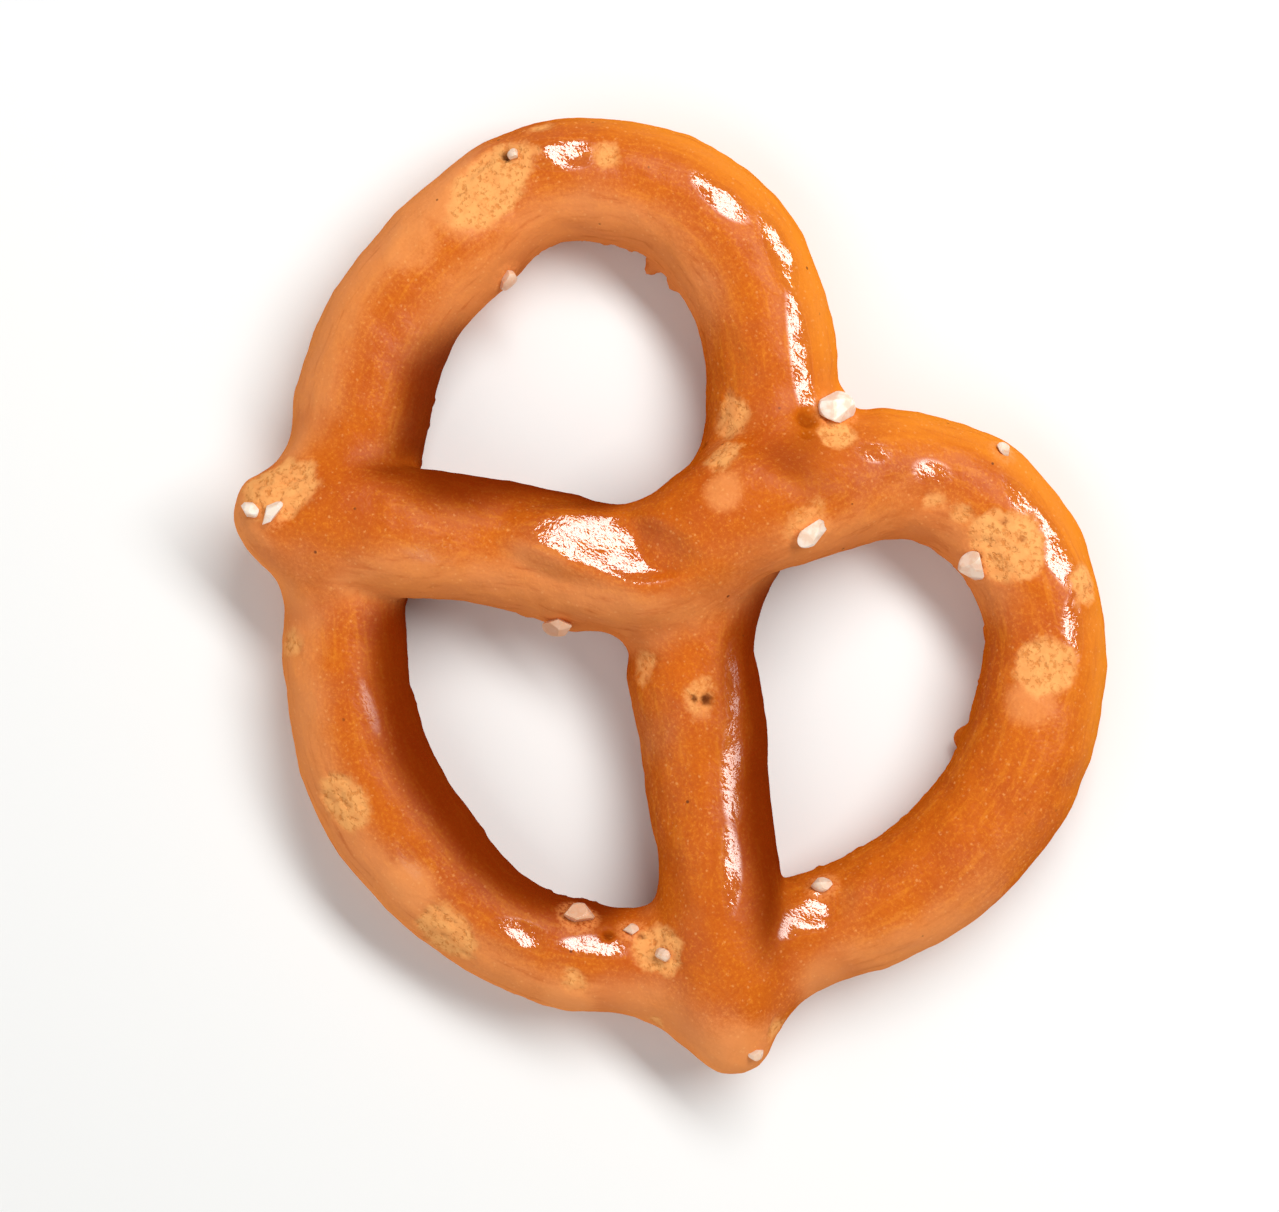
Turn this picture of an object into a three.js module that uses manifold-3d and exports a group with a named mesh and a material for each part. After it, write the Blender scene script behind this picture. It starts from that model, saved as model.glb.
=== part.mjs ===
// A small hard-baked pretzel twist with coarse salt on its glazed crust.
//
// One rope of dough is laid in a bow, its two ends are crossed once over the middle, turned back
// and pressed down on the bow, and the whole is baked in one piece. The underside is flat where it
// lay on the oven band. Each grain of salt is a separate crystal, bedded in a pocket in the crust.
//
// Units are millimetres. The pretzel lies flat: +Z is up, the underside is z = 0, and +Y points
// from the pressed ends' side of the bow towards the notch between the two upper lobes.

import * as THREE from "three";
import { mergeVertices } from "three/addons/utils/BufferGeometryUtils.js";
import Module from "manifold-3d";

// ---- driving dimensions ----

const ROPE_SQUASH = 0.93; // height of the rope's section over its width
const ROPE_SIDES = 12;
const ROPE_STEP = 1.8; // distance between sections along the rope
const TIP_LEAST = 0.35; // share of the rope's width left at the blunt tip of an end
const THREAD = 0.05; // half width of the thin thread that is swept first, then swollen to the rope
const SEAM = 18.5; // stations along the bow to the left joint, where the two swept stretches meet
const LAP = 0.3; // how much of the rope both stretches cover, counted in stations
const SALT_GAP = 0.25; // clearance between a grain and its pocket in the crust
const SALT_BEDDED = 0.18; // share of a grain's height by which its middle lies above the crust
const SAMPLES = 8; // places between two stations at which the crust's height is looked up
const FLANK_EDGE = 0.97; // share of the half width past which the flank is taken as no steeper
const FLANK_REACH = 1.25; // half widths from the middle line within which a grain finds its crust
const CRUST_FINISH = { color: 0xc8621f, roughness: 0.32, metalness: 0 };
const SALT_FINISH = { color: 0xf2e4d4, roughness: 0.4, metalness: 0 };

// The rope's middle line from one pressed end to the other: x, y, height of the middle, half width.
const OVER_ARM = [
  [-18.4, -13.5, 3.3, 3.3],
  [-15.5, -10.7, 4.3, 3.5],
  [-12.1, -7.6, 4.7, 3.6],
  [-8.9, -4.6, 3.7, 3.45],
  [-5.7, -2.1, 3.3, 3.6],
  [-3.0, -0.2, 3.9, 3.75],
  [-1.0, 2.3, 5.0, 3.7],
  [-0.6, 5.3, 5.7, 3.7],
  [0.0, 8.3, 5.6, 3.8],
  [1.2, 11.1, 4.6, 3.8],
  [2.5, 13.8, 3.6, 3.75],
  [4.6, 16.2, 2.9, 3.55],
];
const BOW = [
  [7.9, 17.9, 2.7, 3.6],
  [11.7, 17.8, 2.7, 3.45],
  [15.1, 16.4, 2.7, 3.3],
  [17.8, 13.9, 2.7, 3.45],
  [20.0, 10.8, 2.7, 3.55],
  [21.4, 7.0, 2.7, 3.5],
  [21.8, 2.8, 2.7, 3.5],
  [21.1, -1.0, 2.7, 3.35],
  [19.8, -4.7, 2.6, 3.3],
  [18.0, -8.2, 2.5, 3.35],
  [16.0, -11.5, 2.5, 3.25],
  [13.4, -14.4, 2.6, 3.1],
  [9.9, -16.8, 2.6, 3.05],
  [6.1, -17.9, 2.6, 3.2],
  [2.0, -18.1, 2.7, 3.55],
  [-2.2, -17.6, 2.7, 3.65],
  [-6.0, -15.9, 2.7, 3.5],
  [-9.3, -13.6, 2.6, 3.45],
  [-12.3, -11.0, 2.5, 3.55],
  [-14.8, -8.5, 2.5, 3.65],
  [-17.0, -6.1, 2.6, 3.75],
  [-18.8, -3.8, 2.7, 3.8],
  [-20.5, -1.0, 2.7, 3.6],
  [-21.5, 2.2, 2.7, 3.5],
  [-21.8, 5.7, 2.7, 3.6],
  [-21.8, 9.2, 2.7, 3.35],
  [-20.5, 12.3, 2.7, 3.35],
  [-18.2, 14.7, 2.7, 3.45],
  [-15.5, 16.3, 2.7, 3.55],
  [-12.3, 16.8, 2.7, 3.75],
  [-9.0, 16.2, 2.7, 3.7],
];
const UNDER_ARM = [
  [-6.1, 14.8, 2.8, 3.65],
  [-3.6, 12.8, 2.8, 3.6],
  [-1.6, 10.0, 2.8, 3.55],
  [-0.1, 6.7, 2.8, 3.6],
  [1.4, 3.3, 2.8, 3.55],
  [3.6, 0.5, 2.8, 3.55],
  [6.3, -1.2, 2.8, 3.6],
  [9.0, -3.0, 2.8, 3.45],
  [11.7, -4.9, 3.1, 3.4],
  [14.4, -6.8, 3.6, 3.5],
  [17.2, -8.8, 4.2, 3.5],
  [20.1, -11.1, 3.5, 3.3],
  [22.5, -13.4, 2.7, 2.9],
];

// Grains of salt: where each one lies, its length, width and height, and how far it is turned.
const SALT = [
  { at: [-1.0, 14.9], size: [2.1, 1.7, 1.3], turn: 20 }, // in the notch between the lobes
  { at: [3.0, 9.6], size: [2.2, 1.4, 0.9], turn: 80 },
  { at: [10.3, 15.3], size: [2.0, 1.6, 1.3], turn: 120 },
  { at: [-16.9, -11.7], size: [1.7, 0.9, 0.8], turn: 100 },
  { at: [-17.9, -12.4], size: [1.4, 1.0, 0.9], turn: 40 },
  { at: [10.6, -13.7], size: [1.9, 1.3, 1.1], turn: 60 },
  { at: [-1.9, -4.3], size: [2.0, 1.3, 1.1], turn: 75 },
  { at: [15.2, -11.3], size: [1.0, 0.8, 0.7], turn: 10 },
  { at: [13.0, -12.0], size: [0.9, 0.7, 0.6], turn: 50 },
  { at: [6.6, 20.5], size: [0.9, 0.8, 0.7], turn: 0 },
  { at: [-18.5, 6.3], size: [1.5, 1.0, 0.9], turn: 130 },
  { at: [18.0, -2.5], size: [1.3, 0.9, 0.8], turn: 30 },
  { at: [22.8, -11.3], size: [1.0, 0.7, 0.6], turn: 65 },
  { at: [-23.1, 10.9], size: [0.9, 0.7, 0.6], turn: 15 },
];

// ---- joining and cutting solids ----

const wasm = await Module();
wasm.setup();

function solidOf(geometry) {
  const bare = geometry.clone();
  bare.deleteAttribute("normal");
  bare.deleteAttribute("uv");
  const merged = mergeVertices(bare);
  const vertProperties = new Float32Array(merged.attributes.position.array);
  const triVerts = new Uint32Array(merged.index.array);
  return new wasm.Manifold(new wasm.Mesh({ numProp: 3, vertProperties, triVerts }));
}

function geometryOf(solid) {
  const { vertProperties, triVerts } = solid.getMesh();
  const geometry = new THREE.BufferGeometry();
  geometry.setAttribute("position", new THREE.BufferAttribute(vertProperties, 3));
  geometry.setIndex(new THREE.BufferAttribute(triVerts, 1));
  const faceted = geometry.toNonIndexed();
  faceted.computeVertexNormals();
  return faceted;
}

// ---- the rope ----

const stations = [...OVER_ARM, ...BOW, ...UNDER_ARM];
const middleLine = new THREE.CatmullRomCurve3(
  stations.map(([x, y, z]) => new THREE.Vector3(x, y, z)),
  false,
  "centripetal",
);

function halfWidthAt(t) {
  const place = THREE.MathUtils.clamp(t, 0, 1) * (stations.length - 1);
  const before = Math.min(Math.floor(place), stations.length - 2);
  return THREE.MathUtils.lerp(stations[before][3], stations[before + 1][3], place - before);
}

// Part of the rope, short enough that it doesn't cross itself.
class Stretch extends THREE.Curve {
  constructor(from, to) {
    super();
    this.from = from;
    this.to = to;
  }

  onRope(t) {
    return THREE.MathUtils.lerp(this.from, this.to, t);
  }

  getPoint(t, target = new THREE.Vector3()) {
    return middleLine.getPoint(this.onRope(t), target);
  }
}

// A rounded end narrows over its last half width, as a sphere does, down to a blunt tip.
function endShare(distance, halfWidth) {
  const inside = THREE.MathUtils.clamp(1 - distance / halfWidth, 0, 1);
  return Math.max(TIP_LEAST, Math.sqrt(1 - inside * inside));
}

function stretchSolid(stretch, openEnd) {
  const length = stretch.getLength();
  const steps = Math.round(length / ROPE_STEP);
  const section = new THREE.Shape(
    Array.from({ length: ROPE_SIDES }, (_, side) => {
      const angle = (side / ROPE_SIDES) * Math.PI * 2;
      return new THREE.Vector2(Math.cos(angle) * THREAD, Math.sin(angle) * THREAD);
    }),
  );
  const sweep = new THREE.ExtrudeGeometry(section, { steps, extrudePath: stretch });
  const centres = stretch.getSpacedPoints(steps);
  const widths = centres.map((_, i) => {
    const halfWidth = halfWidthAt(stretch.onRope(stretch.getUtoTmapping(i / steps)));
    const fromStart = (i / steps) * length;
    const toEnd = openEnd === "start" ? fromStart : length - fromStart;
    return halfWidth * endShare(toEnd, halfWidth);
  });
  const corner = new THREE.Vector3();
  const positions = sweep.attributes.position;
  for (let i = 0; i < positions.count; i++) {
    corner.fromBufferAttribute(positions, i);
    let nearest = 0;
    for (let c = 1; c < centres.length; c++) {
      if (corner.distanceToSquared(centres[c]) < corner.distanceToSquared(centres[nearest])) nearest = c;
    }
    corner.sub(centres[nearest]).multiplyScalar(widths[nearest] / THREAD);
    corner.z *= ROPE_SQUASH;
    corner.add(centres[nearest]);
    positions.setXYZ(i, corner.x, corner.y, corner.z);
  }
  return solidOf(sweep);
}

// The rope crosses itself, so it is swept as two stretches that meet inside the left joint.
const lastStation = stations.length - 1;
const seam = (OVER_ARM.length + SEAM) / lastStation;
const firstStretch = stretchSolid(new Stretch(0, seam), "start");
const secondStretch = stretchSolid(new Stretch(seam - LAP / lastStation, 1), "finish");

// Everything above the oven band.
const bandSize = 200;
const aboveBand = new THREE.BoxGeometry(bandSize, bandSize, bandSize).translate(0, 0, bandSize / 2);
let pretzelSolid = firstStretch.add(secondStretch).intersect(solidOf(aboveBand));

// ---- the salt ----

// The top of the crust straight above or below a place, and which way the crust faces there.
const ropeSamples = middleLine.getPoints(lastStation * SAMPLES).map((centre, i, all) => ({
  centre,
  halfWidth: halfWidthAt(i / (all.length - 1)),
}));

function crustAt(x, y) {
  let best = null;
  for (const { centre, halfWidth } of ropeSamples) {
    const dx = x - centre.x;
    const dy = y - centre.y;
    const away = Math.hypot(dx, dy) / halfWidth;
    const aside = Math.min(away, FLANK_EDGE);
    const rise = Math.sqrt(1 - aside * aside) * halfWidth * ROPE_SQUASH;
    if (away < FLANK_REACH && (best === null || centre.z + rise > best.point.z)) {
      best = {
        point: new THREE.Vector3(x, y, centre.z + rise),
        facing: new THREE.Vector3(dx, dy, rise / ROPE_SQUASH).normalize(),
      };
    }
  }
  return best;
}

// A rough crystal: an icosahedron one across, drawn out to the grain's length, width and height.
function grainGeometry({ at, size, turn }, clearance) {
  const { point, facing } = crustAt(...at);
  const upright = new THREE.Quaternion().setFromUnitVectors(new THREE.Vector3(0, 0, 1), facing);
  const middle = point.clone().addScaledVector(facing, size[2] * SALT_BEDDED);
  return new THREE.IcosahedronGeometry(0.5)
    .scale(size[0] + clearance * 2, size[1] + clearance * 2, size[2] + clearance * 2)
    .rotateZ(THREE.MathUtils.degToRad(turn))
    .applyQuaternion(upright)
    .translate(middle.x, middle.y, middle.z);
}

for (const grain of SALT) {
  pretzelSolid = pretzelSolid.subtract(solidOf(grainGeometry(grain, SALT_GAP)));
}

// ---- the part ----

const pretzel = new THREE.Mesh(geometryOf(pretzelSolid), new THREE.MeshStandardMaterial(CRUST_FINISH));
pretzel.name = "pretzel";

const part = new THREE.Group();
part.add(pretzel);
SALT.forEach((grain, i) => {
  const crystal = new THREE.Mesh(grainGeometry(grain, 0), new THREE.MeshStandardMaterial(SALT_FINISH));
  crystal.name = `salt_grain_${String(i + 1).padStart(2, "0")}`;
  part.add(crystal);
});

export default part;
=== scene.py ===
import math

import bpy
import numpy as np
from mathutils import Matrix, Vector
from mathutils.bvhtree import BVHTree
from mathutils.kdtree import KDTree


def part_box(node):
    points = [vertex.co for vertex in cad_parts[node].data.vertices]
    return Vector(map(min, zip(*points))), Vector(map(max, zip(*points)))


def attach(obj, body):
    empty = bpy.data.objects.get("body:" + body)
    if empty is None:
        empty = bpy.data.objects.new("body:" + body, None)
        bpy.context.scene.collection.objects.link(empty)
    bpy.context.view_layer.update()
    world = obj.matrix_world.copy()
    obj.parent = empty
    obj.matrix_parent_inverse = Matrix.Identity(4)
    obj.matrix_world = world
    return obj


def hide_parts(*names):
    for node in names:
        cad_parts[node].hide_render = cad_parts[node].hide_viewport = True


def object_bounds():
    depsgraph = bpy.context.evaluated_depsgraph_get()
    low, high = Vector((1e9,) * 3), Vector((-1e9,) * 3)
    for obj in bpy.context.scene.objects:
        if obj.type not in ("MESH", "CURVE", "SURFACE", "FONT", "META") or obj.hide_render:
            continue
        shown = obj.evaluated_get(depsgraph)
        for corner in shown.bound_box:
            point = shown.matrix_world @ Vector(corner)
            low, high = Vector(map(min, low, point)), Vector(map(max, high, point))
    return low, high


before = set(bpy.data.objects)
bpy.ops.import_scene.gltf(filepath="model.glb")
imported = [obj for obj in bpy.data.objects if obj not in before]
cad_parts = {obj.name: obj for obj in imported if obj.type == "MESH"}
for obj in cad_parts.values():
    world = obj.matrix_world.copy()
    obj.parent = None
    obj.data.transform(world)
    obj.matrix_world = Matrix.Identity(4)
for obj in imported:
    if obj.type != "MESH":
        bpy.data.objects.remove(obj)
cad_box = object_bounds()


# ---- The table, the lamps and the camera ----
# A pale matt table top, a soft strip lamp, a wide panel lamp on the other side and a plain pale room,
# in metres. The camera looks straight down, with the pretzel's notch at the upper right of the view.

VIEW_TURN = math.radians(49)  # from the pretzel's +X to the right of the view
CAMERA_HEIGHT = 0.175  # above the middle of the pretzel
LENS_MM = 90
SENSOR_MM = 36
NEAREST_SEEN = 0.01
KEY_COLOUR = (1.0, 0.98, 0.95)
FILL_COLOUR = (1.0, 0.98, 0.96)
ROOM_COLOUR = (1.0, 0.96, 0.92, 1)
ROOM_STRENGTH = 0.15
TABLE_COLOUR = (0.88, 0.90, 0.91, 1)
TABLE_ROUGHNESS = 0.8
HALF_TABLE = 1.5

across = Vector((math.cos(VIEW_TURN), math.sin(VIEW_TURN), 0))
upward = Vector((-math.sin(VIEW_TURN), math.cos(VIEW_TURN), 0))
middle = (cad_box[0] + cad_box[1]) / 2


def seen_at(right, up, height):
    """A place in the room by how far right and up it lies in the view, and how high."""
    return middle + across * right + upward * up + Vector((0, 0, height))


def area_lamp(name, place, size, watts, colour):
    """A soft lamp of this width and height, aimed at the middle of the pretzel."""
    lamp = bpy.data.lights.new(name, "AREA")
    lamp.shape = "RECTANGLE"
    lamp.size, lamp.size_y = size
    lamp.energy = watts
    lamp.color = colour
    holder = bpy.data.objects.new(name, lamp)
    holder.location = place
    holder.rotation_euler = (middle - place).to_track_quat("-Z", "Y").to_euler()
    bpy.context.scene.collection.objects.link(holder)


camera_data = bpy.data.cameras.new("camera")
camera_data.lens = LENS_MM
camera_data.sensor_width = SENSOR_MM
camera_data.clip_start = NEAREST_SEEN
camera = bpy.data.objects.new("camera", camera_data)
camera.location = seen_at(0.0, 0.0, CAMERA_HEIGHT)
camera.rotation_euler = (0, 0, VIEW_TURN)
bpy.context.scene.collection.objects.link(camera)
bpy.context.scene.camera = camera

area_lamp("key_strip", seen_at(0.108, 0.108, 0.207), size=(0.31, 0.07), watts=0.80, colour=KEY_COLOUR)
area_lamp("fill_panel", seen_at(-0.195, -0.195, 0.215), size=(0.90, 0.45), watts=1.15, colour=FILL_COLOUR)
bpy.context.scene.view_settings.view_transform = "Standard"

room = bpy.data.worlds.new("room")
room.use_nodes = True
room.node_tree.nodes["Background"].inputs["Color"].default_value = ROOM_COLOUR
room.node_tree.nodes["Background"].inputs["Strength"].default_value = ROOM_STRENGTH
bpy.context.scene.world = room

table_mesh = bpy.data.meshes.new("table_top")
table_corners = [(x * HALF_TABLE, y * HALF_TABLE, 0) for x, y in ((-1, -1), (1, -1), (1, 1), (-1, 1))]
table_mesh.from_pydata(table_corners, [], [(0, 1, 2, 3)])
table_top = bpy.data.objects.new("table_top", table_mesh)
bpy.context.scene.collection.objects.link(table_top)
table_paint = bpy.data.materials.new("table_paint")
table_paint.use_nodes = True
table_shader = table_paint.node_tree.nodes["Principled BSDF"]
table_shader.inputs["Base Color"].default_value = TABLE_COLOUR
table_shader.inputs["Roughness"].default_value = TABLE_ROUGHNESS
table_mesh.materials.append(table_paint)


# ---- The pretzel ----
# One rope of wheat dough laid in a bow, its arms crossed once over the middle and their ends pressed
# onto the bow. It is baked hard in one piece: fused where it touches itself, flat where it lay in the
# oven, browned and glazed on top, with pale scars where blisters broke and salt fell out.

MM = 0.001  # metres in a millimetre

# The rope's middle line: x, y, height and half width in millimetres, from one pressed end to the other.
OVER_ARM = [
    (-18.4, -13.5, 3.3, 3.3), (-15.5, -10.7, 4.3, 3.5), (-12.1, -7.6, 4.7, 3.6), (-8.9, -4.6, 3.7, 3.45),
    (-5.7, -2.1, 3.3, 3.6), (-3.0, -0.2, 3.9, 3.75), (-1.0, 2.3, 5.0, 3.7), (-0.6, 5.3, 5.7, 3.7),
    (0.0, 8.3, 5.6, 3.8), (1.2, 11.1, 4.6, 3.8), (2.5, 13.8, 3.6, 3.75), (4.6, 16.2, 2.9, 3.55),
]
BOW = [
    (7.9, 17.9, 2.7, 3.6), (11.7, 17.8, 2.7, 3.45), (15.1, 16.4, 2.7, 3.3), (17.8, 13.9, 2.7, 3.45),
    (20.0, 10.8, 2.7, 3.55), (21.4, 7.0, 2.7, 3.5), (21.8, 2.8, 2.7, 3.5), (21.1, -1.0, 2.7, 3.35),
    (19.8, -4.7, 2.6, 3.3), (18.0, -8.2, 2.5, 3.35), (16.0, -11.5, 2.5, 3.25), (13.4, -14.4, 2.6, 3.1),
    (9.9, -16.8, 2.6, 3.05), (6.1, -17.9, 2.6, 3.2), (2.0, -18.1, 2.7, 3.55), (-2.2, -17.6, 2.7, 3.65),
    (-6.0, -15.9, 2.7, 3.5), (-9.3, -13.6, 2.6, 3.45), (-12.3, -11.0, 2.5, 3.55), (-14.8, -8.5, 2.5, 3.65),
    (-17.0, -6.1, 2.6, 3.75), (-18.8, -3.8, 2.7, 3.8), (-20.5, -1.0, 2.7, 3.6), (-21.5, 2.2, 2.7, 3.5),
    (-21.8, 5.7, 2.7, 3.6), (-21.8, 9.2, 2.7, 3.35), (-20.5, 12.3, 2.7, 3.35), (-18.2, 14.7, 2.7, 3.45),
    (-15.5, 16.3, 2.7, 3.55), (-12.3, 16.8, 2.7, 3.75), (-9.0, 16.2, 2.7, 3.7),
]
UNDER_ARM = [
    (-6.1, 14.8, 2.8, 3.65), (-3.6, 12.8, 2.8, 3.6), (-1.6, 10.0, 2.8, 3.55), (-0.1, 6.7, 2.8, 3.6),
    (1.4, 3.3, 2.8, 3.55), (3.6, 0.5, 2.8, 3.55), (6.3, -1.2, 2.8, 3.6), (9.0, -3.0, 2.8, 3.45),
    (11.7, -4.9, 3.1, 3.4), (14.4, -6.8, 3.6, 3.5), (17.2, -8.8, 4.2, 3.5), (20.1, -11.1, 3.5, 3.3),
    (22.5, -13.4, 2.7, 2.9),
]

# Dabs of dough squeezed out beside the rope: x, y, height of the middle and radius.
DABS = [
    (-2.3, 14.6, 2.8, 1.7), (-1.6, 15.3, 2.4, 1.2),  # in the notch between the lobes
    (-1.6, -3.6, 2.3, 1.1), (-2.6, -3.6, 2.0, 0.8), (-4.2, -4.6, 2.2, 0.9),  # below the left arm
    (17.4, -13.4, 2.4, 1.8), (19.6, -13.2, 2.4, 1.5), (21.0, -8.0, 2.4, 1.7), (21.4, -6.4, 2.4, 1.5),
    (-17.7, -8.8, 2.6, 1.8), (-13.6, -12.4, 2.4, 1.6),  # webs beside the pressed ends
    (-15.7, 12.9, 1.3, 0.6), (-12.3, 13.3, 1.3, 0.6), (-13.8, 13.1, 1.2, 0.5), (17.3, 9.0, 1.3, 0.6),
]

# Where one length of dough melted into another in the oven: x, y, height and reach.
MELTED = [
    (-17.5, -8.2, 4.0, 4.2), (-14.0, -13.0, 4.0, 4.4), (-14.5, -10.5, 7.4, 4.0),
    (-4.6, 6.0, 3.5, 4.6), (2.2, 0.4, 4.2, 3.4), (-1.0, -2.4, 3.0, 3.6), (-1.0, 12.8, 5.0, 4.6),
    (0.2, 5.0, 8.8, 5.0), (-2.5, 13.5, 3.0, 3.0), (5.4, 15.0, 3.6, 3.6),
    (21.8, -7.2, 4.0, 4.8), (17.2, -13.4, 3.6, 5.2), (13.4, -10.0, 4.0, 4.4), (18.4, -9.6, 6.6, 5.6),
]

ROPE_STEP = 0.4 * MM  # between two rings of the swept rope
ROPE_SIDES = 48
ROPE_SQUASH = 0.93  # height of the rope over its width
FOOT_ROUNDING = 0.7 * MM  # how softly the rope turns from its side to its flat sole
VOXEL = 0.236 * MM  # spacing of the fused skin's mesh
MELT_FADE = 5 / 7  # share of its reach over which a melted place fades out


class Wire:
    """A socket in a node tree. Sums on it add the nodes that work them out."""

    def __init__(self, tree, socket):
        self.tree = tree
        self.socket = socket

    def node(self, kind, settings=None, inputs=None, output=0):
        """Adds a node: its settings are set first, then the values or links of its sockets."""
        made = self.tree.nodes.new(kind)
        for name, value in (settings or {}).items():
            setattr(made, name, value)
        for name, value in (inputs or {}).items():
            if isinstance(value, Wire):
                self.tree.links.new(value.socket, made.inputs[name])
            else:
                made.inputs[name].default_value = value
        return Wire(self.tree, made.outputs[output])

    def out(self, name):
        return Wire(self.tree, self.socket.node.outputs[name])

    def maths(self, operation, *values):
        return self.node("ShaderNodeMath", {"operation": operation}, dict(enumerate(values)))

    def __add__(self, other):
        return self.maths("ADD", self, other)

    __radd__ = __add__

    def __sub__(self, other):
        return self.maths("SUBTRACT", self, other)

    def __rsub__(self, other):
        return self.maths("SUBTRACT", other, self)

    def __mul__(self, other):
        return self.maths("MULTIPLY", self, other)

    __rmul__ = __mul__

    def __truediv__(self, other):
        return self.maths("DIVIDE", self, other)

    def rising(self, start, end):
        """0 below start, 1 above end and a smooth rise between."""
        settings = {"interpolation_type": "SMOOTHSTEP"}
        limits = {"Value": self, "From Min": start, "From Max": end}
        return self.node("ShaderNodeMapRange", settings, limits)


class NodeKit:
    """A Geometry Nodes tree with named inputs, to be put on a piece."""

    def __init__(self, name, **sizes):
        self.tree = bpy.data.node_groups.new(name, "GeometryNodeTree")
        self.tree.interface.new_socket("Geometry", in_out="INPUT", socket_type="NodeSocketGeometry")
        self.tree.interface.new_socket("Geometry", in_out="OUTPUT", socket_type="NodeSocketGeometry")
        self.sizes = sizes
        self.identifiers = {}
        for label, value in sizes.items():
            kind = "NodeSocketInt" if isinstance(value, int) else "NodeSocketFloat"
            if isinstance(value, tuple):
                kind = "NodeSocketVector"
            socket = self.tree.interface.new_socket(label, in_out="INPUT", socket_type=kind)
            self.identifiers[label] = socket.identifier
        self.entry = self.tree.nodes.new("NodeGroupInput")
        self.exit = self.tree.nodes.new("NodeGroupOutput")
        self.start = Wire(self.tree, self.entry.outputs["Geometry"])

    def size(self, label):
        return Wire(self.tree, self.entry.outputs[label])

    def named(self, attribute, kind="FLOAT"):
        return self.start.node("GeometryNodeInputNamedAttribute", {"data_type": kind}, {"Name": attribute})

    def position(self):
        return self.start.node("GeometryNodeInputPosition")

    def parts_of(self, vector):
        split = self.start.node("ShaderNodeSeparateXYZ", inputs={"Vector": vector})
        return split, split.out("Y"), split.out("Z")

    def vector(self, x, y, z):
        return self.start.node("ShaderNodeCombineXYZ", inputs={"X": x, "Y": y, "Z": z})

    def vector_maths(self, operation, *values, output=0):
        settings = {"operation": operation}
        return self.start.node("ShaderNodeVectorMath", settings, dict(enumerate(values)), output)

    def scaled(self, vector, share):
        return self.start.node("ShaderNodeVectorMath", {"operation": "SCALE"}, {0: vector, "Scale": share})

    def moved(self, geometry, places):
        return self.start.node("GeometryNodeSetPosition", {}, {"Geometry": geometry, "Position": places})

    def stored(self, geometry, name, value, kind="FLOAT"):
        inputs = {"Geometry": geometry, "Name": name, "Value": value}
        return self.start.node("GeometryNodeStoreNamedAttribute", {"data_type": kind}, inputs)

    def blurred(self, value, passes, weight=1.0, kind="FLOAT"):
        inputs = {"Value": value, "Iterations": passes, "Weight": weight}
        return self.start.node("GeometryNodeBlurAttribute", {"data_type": kind}, inputs)

    def finish(self, geometry, material):
        real = self.start.node("GeometryNodeRealizeInstances", inputs={"Geometry": geometry})
        painted = self.start.node("GeometryNodeSetMaterial", inputs={"Geometry": real, "Material": material})
        self.tree.links.new(painted.socket, self.exit.inputs["Geometry"])

    def put_on(self, piece, **sizes):
        modifier = piece.modifiers.new(self.tree.name, "NODES")
        modifier.node_group = self.tree
        for label, value in {**self.sizes, **sizes}.items():
            modifier[self.identifiers[label]] = value


def settle(piece):
    """Turns what the modifiers make of a piece into its plain mesh."""
    depsgraph = bpy.context.evaluated_depsgraph_get()
    made = bpy.data.meshes.new_from_object(piece.evaluated_get(depsgraph))
    piece.modifiers.clear()
    piece.data = made


def vertex_places(mesh):
    places = np.empty(len(mesh.vertices) * 3)
    mesh.vertices.foreach_get("co", places)
    return places.reshape(-1, 3)


def store(mesh, name, values):
    attribute = mesh.attributes.get(name) or mesh.attributes.new(name, "FLOAT", "POINT")
    attribute.data.foreach_set("value", np.asarray(values, np.float32))


def rise(values, start, end):
    """0 below start, 1 above end and a smooth rise between, for plain numbers."""
    share = np.clip((values - start) / (end - start), 0, 1)
    return share * share * (3 - 2 * share)


crust = bpy.data.materials.new("crust")
crust.use_nodes = True

line = np.array(OVER_ARM + BOW + UNDER_ARM) * MM
dabs = np.array(DABS) * MM
skeleton = bpy.data.meshes.new("pretzel_body")
skeleton.from_pydata(
    np.vstack([line[:, :3], dabs[:, :3]]).tolist(),
    [(i, i + 1) for i in range(len(line) - 1)],
    [],
)
store(skeleton, "half_width", np.concatenate([line[:, 3], np.zeros(len(dabs))]))
store(skeleton, "dab_radius", np.concatenate([np.zeros(len(line)), dabs[:, 3]]))
pretzel = bpy.data.objects.new("pretzel_body", skeleton)
bpy.context.scene.collection.objects.link(pretzel)

# The rope is swept along its middle line and rounded off at both ends, the dabs are added as balls,
# and all of it is set down on a flat sole.
rope_kit = NodeKit(
    "rope_of_dough", Squash=ROPE_SQUASH, Sides=ROPE_SIDES, Step=ROPE_STEP, Foot=FOOT_ROUNDING
)
curve = rope_kit.start.node("GeometryNodeMeshToCurve", inputs={"Mesh": rope_kit.start})
curve = curve.node("GeometryNodeCurveSplineType", {"spline_type": "CATMULL_ROM"}, {"Curve": curve})
even_steps = {"Curve": curve, "Length": rope_kit.size("Step")}
curve = curve.node("GeometryNodeResampleCurve", {"mode": "LENGTH"}, even_steps)
curve = rope_kit.stored(curve, "middle", rope_kit.position(), "FLOAT_VECTOR")
half_width = rope_kit.named("half_width")
along = curve.node("GeometryNodeSplineParameter", output="Length")
whole = curve.node("GeometryNodeSplineLength")
to_end = along.maths("MINIMUM", along, whole - along)
from_end = to_end / half_width
inside_end = 1 - from_end.maths("MINIMUM", from_end, 1.0)
round_end = 1 - inside_end * inside_end
end_share = round_end.maths("SQRT", round_end)
circle = {"Resolution": rope_kit.size("Sides"), "Radius": 1.0}
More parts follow.
